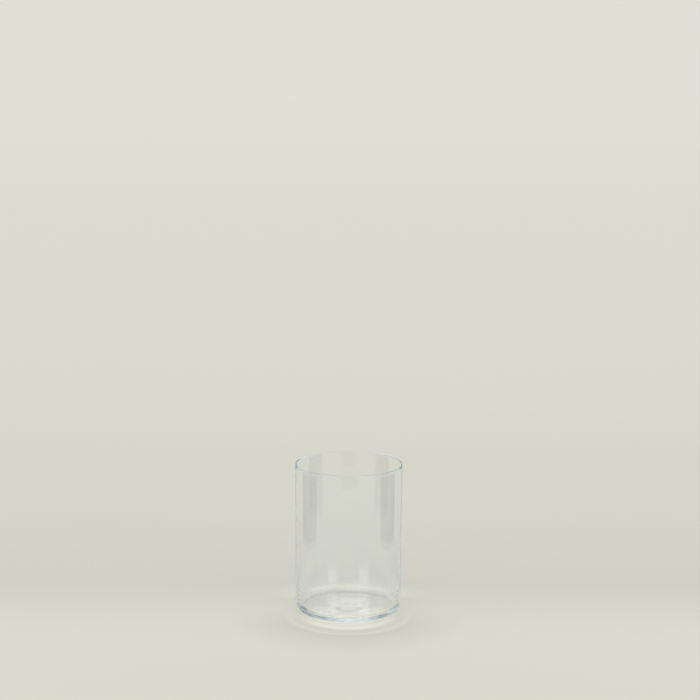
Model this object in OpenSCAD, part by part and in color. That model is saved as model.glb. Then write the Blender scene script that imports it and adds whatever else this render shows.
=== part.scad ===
// Straight-sided juice glass: one piece of clear glass, a thin wall on a thicker base.
// Millimetres, +Z up. The origin is on the axis of the glass, on the table it stands on.

/* [Overall] */
// Height from the table to the top of the rim
glass_h = 87; // [60:1:120]
// Outside diameter of the wall, carried up to the top of the rim
rim_d = 62.3; // [50:0.1:80]
// Outside diameter of the wall, carried down to the table
foot_d = 61.6; // [50:0.1:80]

/* [Wall] */
// Thickness of the wall just below the rim
rim_wall = 0.85; // [0.6:0.05:2.4]
// Thickness of the wall just above the base
foot_wall = 1.7; // [1:0.1:4]

/* [Base] */
// Height of the inside floor above the table, at the corner
floor_h = 2.8; // [1.6:0.1:8]
// How much higher the floor is in its middle
dome_h = 0.4; // [0.1:0.1:2]
// Radius of the part of the floor that swells up
dome_r = 16; // [8:0.5:20]
// Radius of the rounded outer heel
heel_r = 4.5; // [2:0.1:8]
// Radius of the inside corner between floor and wall
corner_r = 3; // [1.5:0.1:8]
// Width of the level ring that the glass stands on
ring_w = 3.3; // [1.5:0.1:8]
// Depth of the shallow hollow inside that ring, at its middle
hollow_h = 0.3; // [0.1:0.1:1.2]

/* [Ripples] */
// Number of faint mould ripples round the inside of the wall, above the base
ripple_count = 3; // [1:1:8]
// Height from one ripple to the next
ripple_pitch = 2.9; // [1.5:0.1:5]
// Height of a ripple above the wall
ripple_h = 0.03; // [0.02:0.01:0.2]

/* [Hidden] */
// Steps along the outer heel and the inside corner
corner_steps = 12;
// Steps round the top of the rim
rim_steps = 10;
// Steps along the hollow under the base
hollow_steps = 8;
// Steps from the edge of the swell to the middle of the floor
dome_steps = 12;
// Width of the level floor that is always left round the swell
dome_margin = 1;
// Steps along each ripple
ripple_steps = 6;
glass_colour = [0.84, 0.91, 0.91, 0.4];
round_fn = 128;

// The wall's lean from the table to the rim, outside and inside
outer_lean = atan((rim_d - foot_d) / 2 / glass_h);
inner_top_r = rim_d / 2 - rim_wall;
inner_foot_r = foot_d / 2 - foot_wall;
inner_lean = atan((inner_top_r - inner_foot_r) / (glass_h - floor_h));
// The rim is a half circle as thick as the wall
rim_r = rim_wall / 2;

function outer_r(z) = foot_d / 2 + z * tan(outer_lean);
function inner_r(z) = inner_foot_r + (z - floor_h) * tan(inner_lean);
function arc(x, z, r, from, to, steps) =
    [for (i = [0:steps]) let (a = from + (to - from) * i / steps) [x + r * cos(a), z + r * sin(a)]];

// Each corner's centre lies its radius away from both the level and the leaning line
heel_x = outer_r(heel_r) - heel_r / cos(outer_lean);
corner_z = floor_h + corner_r;
corner_x = inner_r(corner_z) - corner_r / cos(inner_lean);
rim_x = outer_r(glass_h - rim_r) - rim_r / cos(outer_lean);
rim_z = glass_h - rim_r;

// The hollow is a shallow cap of a large sphere, and reaches out to the ring
hollow_r = heel_x - ring_w;
hollow_ball_r = (hollow_r * hollow_r + hollow_h * hollow_h) / (2 * hollow_h);
hollow_angle = asin(hollow_r / hollow_ball_r);

// A ripple is one wave of a cosine, raised on the inside of the wall
ripple_z = corner_z;
function ripple(t) = ripple_h * (1 - cos(360 * t)) / 2;
ripples = [
    for (i = [1:ripple_count * ripple_steps])
        let (t = i / ripple_steps, z = ripple_z + t * ripple_pitch) [inner_r(z) - ripple(t), z]
];

// The floor is level inside the corner and swells smoothly up to its middle
dome_x = min(dome_r, corner_x - dome_margin);
function dome(t) = [dome_x * (1 - t), floor_h + dome_h * (1 - cos(180 * t)) / 2];

// Half of the section, from the middle of the hollow out, up the wall, over the rim and back down
function section() = concat(
    arc(0, hollow_h - hollow_ball_r, hollow_ball_r, 90, 90 - hollow_angle, hollow_steps),
    arc(heel_x, heel_r, heel_r, -90, -outer_lean, corner_steps),
    arc(rim_x, rim_z, rim_r, -outer_lean, 180 - inner_lean, rim_steps),
    [for (i = [len(ripples) - 1:-1:0]) ripples[i]],
    arc(corner_x, corner_z, corner_r, -inner_lean, -90, corner_steps),
    [for (i = [0:dome_steps]) dome(i / dome_steps)]
);

module tumbler() {
    color(glass_colour)
        rotate_extrude($fn = round_fn)
            polygon(section());
}

tumbler();
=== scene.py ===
# The juice glass as it looks: one smooth, clear piece of glass on a pale studio table.
# Everything is in metres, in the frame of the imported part.
import math

import bpy
from mathutils import Matrix, Vector


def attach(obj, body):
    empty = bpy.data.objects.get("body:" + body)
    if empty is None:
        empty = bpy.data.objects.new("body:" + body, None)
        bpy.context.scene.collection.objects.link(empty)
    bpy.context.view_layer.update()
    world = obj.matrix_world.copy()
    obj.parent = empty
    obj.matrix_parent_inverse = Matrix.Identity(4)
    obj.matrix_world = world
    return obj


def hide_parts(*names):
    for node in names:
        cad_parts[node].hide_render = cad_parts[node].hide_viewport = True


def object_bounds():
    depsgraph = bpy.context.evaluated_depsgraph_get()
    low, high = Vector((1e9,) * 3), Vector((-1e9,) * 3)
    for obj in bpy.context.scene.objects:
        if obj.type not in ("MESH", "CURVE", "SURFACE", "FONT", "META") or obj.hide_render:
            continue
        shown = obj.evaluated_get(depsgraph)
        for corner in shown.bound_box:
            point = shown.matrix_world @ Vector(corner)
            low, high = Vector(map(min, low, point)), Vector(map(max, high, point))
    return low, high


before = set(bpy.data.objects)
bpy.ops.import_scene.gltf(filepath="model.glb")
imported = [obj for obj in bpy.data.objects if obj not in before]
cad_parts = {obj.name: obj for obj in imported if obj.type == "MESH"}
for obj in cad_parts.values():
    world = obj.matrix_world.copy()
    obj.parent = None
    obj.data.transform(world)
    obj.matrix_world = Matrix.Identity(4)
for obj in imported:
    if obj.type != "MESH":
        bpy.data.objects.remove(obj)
cad_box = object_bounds()
mm = 0.001

# The glass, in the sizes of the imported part
GLASS_H = cad_box[1].z
RIM_R = 31.15 * mm
FOOT_R = 30.8 * mm
RIM_WALL = 0.85 * mm
FOOT_WALL = 1.7 * mm
FLOOR_H = 2.8 * mm
DOME_H = 0.4 * mm
DOME_R = 16 * mm
HEEL_R = 4.5 * mm
CORNER_R = 3 * mm
RING_W = 3.3 * mm
HOLLOW_H = 0.3 * mm
RIPPLE_COUNT = 3
RIPPLE_PITCH = 2.9 * mm
RIPPLE_H = 0.03 * mm

# How finely the mesh is turned
TURN_STEPS = 288
ARC_STEPS = 32
WALL_STEPS = 36
HOLLOW_STEPS = 24
DOME_STEPS = 96
RIPPLE_STEPS = 16

# The glass's material: the tone and the waves of its surface follow one soft noise
GLASS_IOR = 1.5
GLASS_TONES = ((0.35, (0.988, 0.994, 0.996)), (0.65, (1, 1, 1)))
NOISE_SCALE = 55.0
NOISE_DETAIL = 2.0
WAVE_STRENGTH = 0.05
WAVE_DEPTH = 0.2 * mm
# How the glass colours the light that goes far in it
TINT_COLOUR = (0.45, 0.62, 0.71, 1)
TINT_DENSITY = 6.0

# The studio's sky: the sine of the elevation, and the colour there
SKY = (
    (0.0, (0.745, 0.745, 0.66)),
    (0.36, (0.745, 0.745, 0.66)),
    (0.5, (0.90, 0.95, 0.97)),
    (1.0, (0.90, 0.95, 0.97)),
)

# The table
FLOOR_COLOUR = (0.7355, 0.7038, 0.618)
FLOOR_REACH = 40.0
# The glass stands this far above it, as a real one does on its few high points
AIR_GAP = 0.03 * mm
# How far in front of the glass the viewer stands, and how near to the viewer the tone still changes
VIEW_FAR = 0.9
VIEW_NEAR = VIEW_FAR / 2
# Distance behind the glass in mm, and the painted light and shade there, as a share of the table's
# colour
FLOOR_PAINTED_LIGHT = (
    (39000, 1.167),
    (3370, 1.116),
    (1362, 1.105),
    (627, 1.074),
    (374, 1.018),
    (246, 1.014),
    (141, 0.971),
    (85, 0.943),
    (45, 0.922),
    (5, 0.968),
    (-27, 0.997),
    (-62, 1.007),
    (-130, 0.969),
)
# Rings of light and shade round the foot, painted into the table's tone and fitted by rows to the
# photograph. Each set says where its middle is along Y, between which two places along
# Y it fades in, and for each distance from the middle in mm, how bright the table is.
TABLE_RINGS = (
    # In front of the foot
    (-12 * mm, (-5 * mm, -36 * mm), (
        (0, 1.0),
        (12.5, 1.0),
        (14, 1.1),
        (16, 1.12),
        (18.6, 1.18),
        (22, 1.11),
        (24.6, 1.21),
        (26, 1.17),
        (27.5, 1.04),
        (30, 0.92),
        (32.6, 0.94),
        (34.4, 1.01),
        (36, 0.95),
        (38, 0.89),
        (42, 0.91),
        (50, 0.94),
        (72, 1.0),
    )),
    # Under the front of the heel
    (0, (-8 * mm, -18 * mm), (
        (0, 1.0),
        (13, 0.94),
        (16, 0.86),
        (23.5, 0.88),
        (25, 1.02),
        (27, 1.15),
        (28.5, 1.08),
        (30.5, 1.0),
    )),
    # Under the middle of the base
    (-7 * mm, (12 * mm, 9 * mm), (
        (0, 0.9),
        (5, 0.91),
        (7.5, 1.0),
        (9.2, 1.1),
        (11, 1.09),
        (13, 1.0),
    )),
    # Behind the foot
    (-3.5 * mm, (16 * mm, 30 * mm), (
        (0, 1.0),
        (27.8, 1.0),
        (28.4, 1.12),
        (30.3, 1.36),
        (32.5, 1.22),
        (34.5, 1.14),
        (37, 1.26),
        (41, 1.2),
        (48, 1.06),
        (60, 1.0),
    )),
    # Under the back of the ring that the glass stands on
    (-3.5 * mm, (2 * mm, 20 * mm), (
        (0, 1.0),
        (19, 1.0),
        (23, 1.05),
        (24.6, 1.0),
        (25.3, 0.66),
        (27, 0.66),
        (27.7, 1.0),
    )),
)
RINGS_REACH = 0.1
# A ramp's colours stay under 1, so the rings' shares are halved in it and doubled after it
HALF = 0.5

# The lamps. Turns are measured round from behind the glass.
TOP_LAMP_AT = Vector((0, 0.112, 0.9))
TOP_LAMP_SIZE = 0.05
TOP_LAMP_GLOW = 12
SIDE_LAMP_TURN = math.radians(142)
SIDE_LAMP_RISE = math.radians(20)
SIDE_LAMP_FAR = 0.6
SIDE_LAMP_SIZE = (0.25, 0.09)
SIDE_LAMP_GLOW = 4.5

# Cards and panels, staging that only the glass shows. How many times the glass has mirrored what
# shows them, and how far either way that number may be off: once, or any number up to 127.
ONCE = (1.0, 0.5)
ANY = (64.0, 63.5)
# A pale panel behind and above
PALE_PANEL_FAR = 1.0
PALE_PANEL_RISE = math.radians(40)
PALE_PANEL_SIZE = (0.62, 0.66)
PALE_PANEL_COLOUR = (1.62, 1.65, 1.62)
# Dark cards that stand on the table, from one place to another
CARD_COLOUR = (0.02, 0.02, 0.02)
SIDE_CARD = ((160 * mm, -68 * mm), (160 * mm, 54 * mm))
SIDE_CARD_H = 50 * mm
FRONT_CARD = ((-100 * mm, -326 * mm), (100 * mm, -326 * mm))
FRONT_CARD_H = 120 * mm
# Dark panels round the glass: degrees round from behind it, degrees up, width and height
DARK_PANEL_COLOUR = (0.02, 0.04, 0.08)
DARK_PANEL_FAR = 0.35
DARK_PANELS = (
    ("right_low_panel", 47, 17, 0.19, 0.19),
    ("right_panel", 92, 41, 0.24, 0.11),
    ("right_front_panel", 150, 41, 0.24, 0.11),
    ("left_panel", -90, 55, 0.24, 0.10),
    ("left_front_panel", -150, 55, 0.20, 0.10),
    ("top_panel", 115, 66, 0.17, 0.18),
)

# The camera, in the photograph's 700 pixel frame
IMAGE_PX = 700
FOCAL_PX = 1600
SENSOR = 36.0
CAMERA_AT = Vector((0.34 * mm, -904.2 * mm, 303.4 * mm))
CAMERA_DOWN = math.radians(9.415)
CAMERA_ROLL = math.radians(0.277)
CLIP_START = 0.01
CLIP_END = 50.0

# How many times light may bounce. The inside of the glass's wall mirrors it hundreds of times.
GLASS_BOUNCES = 1024
DIFFUSE_BOUNCES = 4
CLEAR_BOUNCES = 16


def link(obj):
    bpy.context.scene.collection.objects.link(obj)
    return obj


def arc(x, z, r, start, end, steps):
    """Points of an arc about a middle at x and z, from one angle to another."""
    angles = [start + (end - start) * i / steps for i in range(steps + 1)]
    return [(x + r * math.cos(a), z + r * math.sin(a)) for a in angles]


def outline():
    """Half of the glass's section, from the middle of the hollow out, up, over the rim and back down."""
    outer_lean = math.atan((RIM_R - FOOT_R) / GLASS_H)
    inner_top = RIM_R - RIM_WALL
    inner_foot = FOOT_R - FOOT_WALL
    inner_lean = math.atan((inner_top - inner_foot) / (GLASS_H - FLOOR_H))

    def outer_r(z):
        return FOOT_R + z * math.tan(outer_lean)

    def inner_r(z):
        return inner_foot + (z - FLOOR_H) * math.tan(inner_lean)

    # The ripples start where the inside corner ends
    corner_z = FLOOR_H + CORNER_R
    ripple_top = corner_z + RIPPLE_COUNT * RIPPLE_PITCH

    def ripple(z):
        t = (z - corner_z) / RIPPLE_PITCH
        return RIPPLE_H * (1 - math.cos(math.tau * t)) / 2

    heel_x = outer_r(HEEL_R) - HEEL_R / math.cos(outer_lean)
    corner_x = inner_r(corner_z) - CORNER_R / math.cos(inner_lean)
    rim_r = RIM_WALL / 2
    rim_z = GLASS_H - rim_r
    rim_x = outer_r(rim_z) - rim_r / math.cos(outer_lean)
    hollow_r = heel_x - RING_W
    ball_r = (hollow_r**2 + HOLLOW_H**2) / (2 * HOLLOW_H)
    hollow_angle = math.asin(hollow_r / ball_r)
    quarter = math.pi / 2

    points = arc(0, HOLLOW_H - ball_r, ball_r, quarter, quarter - hollow_angle, HOLLOW_STEPS)
    heel = arc(heel_x, HEEL_R, HEEL_R, -quarter, -outer_lean, ARC_STEPS)
    rim = arc(rim_x, rim_z, rim_r, -outer_lean, math.pi - inner_lean, ARC_STEPS)
    corner = arc(corner_x, corner_z, CORNER_R, -inner_lean, -quarter, ARC_STEPS)
    points += heel
    (x0, z0), (x1, z1) = heel[-1], rim[0]
    for i in range(1, WALL_STEPS):
        t = i / WALL_STEPS
        points.append((x0 + (x1 - x0) * t, z0 + (z1 - z0) * t))
    points += rim
    for i in range(1, WALL_STEPS):
        z = rim_z + (ripple_top - rim_z) * i / WALL_STEPS
        points.append((inner_r(z), z))
    steps = RIPPLE_COUNT * RIPPLE_STEPS
    for i in range(steps):
        z = ripple_top + (corner_z - ripple_top) * i / steps
        points.append((inner_r(z) - ripple(z), z))
    points += corner
    for i in range(1, DOME_STEPS + 1):
        r = corner_x * (1 - i / DOME_STEPS)
        swell = (1 + math.cos(math.pi * min(r / DOME_R, 1))) / 2
        points.append((r, FLOOR_H + DOME_H * swell))
    return points


def turned(name, points):
    """A closed mesh of revolution about Z. The first and the last point lie on the axis."""
    rings = points[1:-1]
    verts = [(0, 0, points[0][1])]
    for r, z in rings:
        for j in range(TURN_STEPS):
            a = math.tau * j / TURN_STEPS
            verts.append((r * math.cos(a), r * math.sin(a), z))
    verts.append((0, 0, points[-1][1]))
    top = len(verts) - 1
    faces = []
    for j in range(TURN_STEPS):
        k = (j + 1) % TURN_STEPS
        faces.append((0, 1 + k, 1 + j))
        for i in range(len(rings) - 1):
            a, b = 1 + i * TURN_STEPS, 1 + (i + 1) * TURN_STEPS
            faces.append((a + j, a + k, b + k, b + j))
        last = 1 + (len(rings) - 1) * TURN_STEPS
        faces.append((last + j, last + k, top))
    mesh = bpy.data.meshes.new(name)
    mesh.from_pydata(verts, [], faces)
    mesh.polygons.foreach_set("use_smooth", [True] * len(mesh.polygons))
    mesh.validate()
    return link(bpy.data.objects.new(name, mesh))


def new_material(name):
    material = bpy.data.materials.new(name)
    material.use_nodes = True
    nodes = material.node_tree.nodes
    return material, nodes, material.node_tree.links, nodes["Principled BSDF"]


def add_ramp(nodes, stops):
    """A colour ramp from pairs of place and colour, in rising order of place."""
    ramp = nodes.new("ShaderNodeValToRGB")
    ramp.color_ramp.interpolation = "LINEAR"
    elements = ramp.color_ramp.elements
    elements[0].position = stops[0][0]
    elements[0].color = (*stops[0][1], 1)
    elements.remove(elements[1])
    for place, colour in stops[1:]:
        elements.new(place).color = (*colour, 1)
    return ramp


def glass_material():
    """Clear glass that is a little uneven in tone, and whose surface waves very slightly."""
    material, nodes, links, shader = new_material("clear_glass")
    shader.inputs["Roughness"].default_value = 0.0
    shader.inputs["IOR"].default_value = GLASS_IOR
    shader.inputs["Transmission Weight"].default_value = 1.0
    place = nodes.new("ShaderNodeTexCoord")
    cloud = nodes.new("ShaderNodeTexNoise")
    cloud.inputs["Scale"].default_value = NOISE_SCALE
    cloud.inputs["Detail"].default_value = NOISE_DETAIL
    links.new(place.outputs["Object"], cloud.inputs["Vector"])
    tone = add_ramp(nodes, GLASS_TONES)
    links.new(cloud.outputs["Fac"], tone.inputs["Fac"])
    links.new(tone.outputs["Color"], shader.inputs["Base Color"])
    wave = nodes.new("ShaderNodeBump")
    wave.inputs["Strength"].default_value = WAVE_STRENGTH
    wave.inputs["Distance"].default_value = WAVE_DEPTH
    links.new(cloud.outputs["Fac"], wave.inputs["Height"])
    links.new(wave.outputs["Normal"], shader.inputs["Normal"])
    tint = nodes.new("ShaderNodeVolumeAbsorption")
    tint.inputs["Color"].default_value = TINT_COLOUR
    tint.inputs["Density"].default_value = TINT_DENSITY
    links.new(tint.outputs[0], nodes["Material Output"].inputs["Volume"])
    return material


def add_rings(nodes, links, place, split, middle_y, rings, fade_y):
    """Gives the rings' shares of painted light and shade, halved, at each place of the table."""
    middle = nodes.new("ShaderNodeVectorMath")
    middle.operation = "SUBTRACT"
    middle.inputs[1].default_value = (0, middle_y, 0)
    links.new(place.outputs["Object"], middle.inputs[0])
    distance = nodes.new("ShaderNodeVectorMath")
    distance.operation = "LENGTH"
    links.new(middle.outputs[0], distance.inputs[0])
    share = nodes.new("ShaderNodeMath")
    share.operation = "DIVIDE"
    share.inputs[1].default_value = RINGS_REACH
    links.new(distance.outputs["Value"], share.inputs[0])
    ramp = add_ramp(nodes, [(r * mm / RINGS_REACH, [g * HALF] * 3) for r, g in rings])
    links.new(share.outputs[0], ramp.inputs["Fac"])
    fade = nodes.new("ShaderNodeMapRange")
    fade.inputs["From Min"].default_value = fade_y[0]
    fade.inputs["From Max"].default_value = fade_y[1]
    links.new(split.outputs["Y"], fade.inputs["Value"])
    mix = nodes.new("ShaderNodeMix")
    mix.data_type = "RGBA"
    # A mix of colours takes them at sockets 6 and 7, and gives the result at socket 2
    mix.inputs[6].default_value = (HALF, HALF, HALF, 1)
    links.new(ramp.outputs["Color"], mix.inputs[7])
    links.new(fade.outputs["Result"], mix.inputs[0])
    return mix.outputs[2]


def floor_material():
    """A dull pale table, with light and shade painted into its colour: paler or darker with distance,
    and in rings round the foot.
    """
    material, nodes, links, shader = new_material("table")
    shader.inputs["Roughness"].default_value = 1.0
    shader.inputs["Specular IOR Level"].default_value = 0.0
    place = nodes.new("ShaderNodeTexCoord")
    split = nodes.new("ShaderNodeSeparateXYZ")
    links.new(place.outputs["Object"], split.inputs[0])
    away = nodes.new("ShaderNodeMath")
    away.operation = "ADD"
    away.inputs[1].default_value = VIEW_FAR
    links.new(split.outputs["Y"], away.inputs[0])
    clear = nodes.new("ShaderNodeMath")
    clear.operation = "MAXIMUM"
    clear.inputs[1].default_value = VIEW_NEAR
    links.new(away.outputs[0], clear.inputs[0])
    near = nodes.new("ShaderNodeMath")
    near.operation = "DIVIDE"
    near.inputs[0].default_value = VIEW_NEAR
    links.new(clear.outputs[0], near.inputs[1])
    # Painted light and shade: the table's colour grows paler or darker with its distance behind the
    # glass
    # The ramp runs from 0 at the horizon to 1 at the nearest place, as one over the distance does
    painted_shades = []
    for y, share in FLOOR_PAINTED_LIGHT:
        painted_shades.append((VIEW_NEAR / (y * mm + VIEW_FAR), [c * share for c in FLOOR_COLOUR]))
    ramp = add_ramp(nodes, painted_shades)
    links.new(near.outputs[0], ramp.inputs["Fac"])
    lit = ramp.outputs["Color"]
    # Rings of painted light and painted shadow round the foot, multiplied into the table's colour
    for middle_y, fade_y, rings in TABLE_RINGS:
        shares = add_rings(nodes, links, place, split, middle_y, rings, fade_y)
        both = nodes.new("ShaderNodeVectorMath")
        both.operation = "MULTIPLY"
        links.new(lit, both.inputs[0])
        links.new(shares, both.inputs[1])
        double = nodes.new("ShaderNodeVectorMath")
        double.operation = "SCALE"
        double.inputs["Scale"].default_value = 1 / HALF
        links.new(both.outputs[0], double.inputs[0])
        lit = double.outputs[0]
    links.new(lit, shader.inputs["Base Color"])
    return material


def four_sided(name, corners):
    mesh = bpy.data.meshes.new(name)
    mesh.from_pydata(corners, [], [(0, 1, 2, 3)])
    return mesh


def level_corners(x, y, z):
    """Corners of a level rectangle that reaches x and y to either side."""
    return [(-x, -y, z), (x, -y, z), (x, y, z), (-x, y, z)]


def add_floor():
    mesh = four_sided("table", level_corners(FLOOR_REACH, FLOOR_REACH, -AIR_GAP))
    floor = link(bpy.data.objects.new("table", mesh))
    mesh.materials.append(floor_material())


def sky_place(turn, rise, far):
    """A place so far from the glass, turned round from behind it and raised."""
    flat = far * math.cos(rise)
    return Vector((flat * math.sin(turn), flat * math.cos(turn), far * math.sin(rise)))


def facing_foot(at):
    return (-at).to_track_quat("-Z", "Y").to_euler()


def add_lamp(name, at, size, radiance, shape="RECTANGLE"):
    """A soft lamp aimed at the foot. Its face glows as radiance says, whatever its size."""
    lamp = bpy.data.lights.new(name, "AREA")
    lamp.shape = shape
    lamp.size, lamp.size_y = size
    area = size[0] * size[1] * (math.pi / 4 if shape == "DISK" else 1)
    lamp.energy = radiance * math.pi * area
    obj = link(bpy.data.objects.new(name, lamp))
    obj.location = at
    obj.rotation_euler = facing_foot(at)
    obj.visible_camera = False


def card_material(name, colour, mirrorings):
    """Shows its colour to what the glass has mirrored so many times, and is clear for all else."""
    material, nodes, links, shader = new_material(name)
    nodes.remove(shader)
    glow = nodes.new("ShaderNodeEmission")
    glow.inputs["Color"].default_value = (*colour, 1)
    clear = nodes.new("ShaderNodeBsdfTransparent")
    path = nodes.new("ShaderNodeLightPath")
    mirrored = nodes.new("ShaderNodeMath")
    mirrored.operation = "COMPARE"
    mirrored.inputs[1].default_value = mirrorings[0]
    mirrored.inputs[2].default_value = mirrorings[1]
    links.new(path.outputs["Glossy Depth"], mirrored.inputs[0])
    mix = nodes.new("ShaderNodeMixShader")
    links.new(mirrored.outputs[0], mix.inputs["Fac"])
    links.new(clear.outputs[0], mix.inputs[1])
    links.new(glow.outputs[0], mix.inputs[2])
    links.new(mix.outputs[0], nodes["Material Output"].inputs["Surface"])
    return material


def add_card(name, start, end, height, material):
    """A card that stands on the table along the line from start to end."""
    corners = [(*start, 0), (*end, 0), (*end, height), (*start, height)]
    stage_card(name, corners, material)


def add_panel(name, turn, rise, far, size, material):
    """A panel that faces the foot of the glass from above."""
    panel = stage_card(name, level_corners(size[0] / 2, size[1] / 2, 0), material)
    panel.location = sky_place(turn, rise, far)
    panel.rotation_euler = facing_foot(panel.location)


def stage_card(name, corners, material):
    mesh = four_sided(name, corners)
    mesh.materials.append(material)
    card = link(bpy.data.objects.new(name, mesh))
    card.visible_diffuse = False
    card.visible_shadow = False
    card.visible_camera = False
    return card


def add_world():
    world = bpy.data.worlds.new("studio")
    bpy.context.scene.world = world
    world.use_nodes = True
    nodes, links = world.node_tree.nodes, world.node_tree.links
    place = nodes.new("ShaderNodeTexCoord")
    split = nodes.new("ShaderNodeSeparateXYZ")
    links.new(place.outputs["Generated"], split.inputs[0])
    ramp = add_ramp(nodes, SKY)
    links.new(split.outputs["Z"], ramp.inputs["Fac"])
    links.new(ramp.outputs["Color"], nodes["Background"].inputs["Color"])


def add_camera():
    lens = bpy.data.cameras.new("camera")
    lens.sensor_width = SENSOR
    lens.lens = FOCAL_PX * SENSOR / IMAGE_PX
    lens.clip_start = CLIP_START
    lens.clip_end = CLIP_END
    camera = link(bpy.data.objects.new("camera", lens))
    tilt = Matrix.Rotation(math.pi / 2 - CAMERA_DOWN, 4, "X") @ Matrix.Rotation(CAMERA_ROLL, 4, "Z")
    camera.matrix_world = Matrix.Translation(CAMERA_AT) @ tilt
    bpy.context.scene.camera = camera


def set_render():
    scene = bpy.context.scene
    scene.view_settings.view_transform = "Standard"
    scene.view_settings.look = "None"
    scene.cycles.use_denoising = True
    scene.cycles.max_bounces = GLASS_BOUNCES
    scene.cycles.transmission_bounces = GLASS_BOUNCES
    scene.cycles.glossy_bounces = GLASS_BOUNCES
    scene.cycles.diffuse_bounces = DIFFUSE_BOUNCES
    scene.cycles.transparent_max_bounces = CLEAR_BOUNCES
    scene.cycles.caustics_refractive = True
    scene.cycles.caustics_reflective = True
    scene.cycles.blur_glossy = 0.0
    scene.cycles.sample_clamp_indirect = 0.0


def add_stage():
    """The lamps, and the cards and panels that the glass mirrors."""
    add_lamp("top_lamp", TOP_LAMP_AT, (TOP_LAMP_SIZE, TOP_LAMP_SIZE), TOP_LAMP_GLOW, "DISK")
    pale = card_material("pale_panel", PALE_PANEL_COLOUR, ANY)
    add_panel("pale_panel", 0, PALE_PANEL_RISE, PALE_PANEL_FAR, PALE_PANEL_SIZE, pale)
    navy = card_material("navy_panel", DARK_PANEL_COLOUR, ANY)
    for name, turn, rise, width, height in DARK_PANELS:
        turn, rise = math.radians(turn), math.radians(rise)
        add_panel(name, turn, rise, DARK_PANEL_FAR, (width, height), navy)
    dark = card_material("dark_card", CARD_COLOUR, ONCE)
    add_card("front_card", *FRONT_CARD, FRONT_CARD_H, dark)
    for side, name in ((-1, "left"), (1, "right")):
        at = sky_place(side * SIDE_LAMP_TURN, SIDE_LAMP_RISE, SIDE_LAMP_FAR)
        add_lamp(name + "_lamp", at, SIDE_LAMP_SIZE, SIDE_LAMP_GLOW)
        (x0, y0), (x1, y1) = SIDE_CARD
        add_card(name + "_card", (side * x0, y0), (side * x1, y1), SIDE_CARD_H, dark)


add_camera()
add_world()
add_floor()
add_stage()
tumbler = turned("tumbler_glass", outline())
tumbler.data.materials.append(glass_material())
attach(tumbler, "root")
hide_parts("tumbler")
set_render()
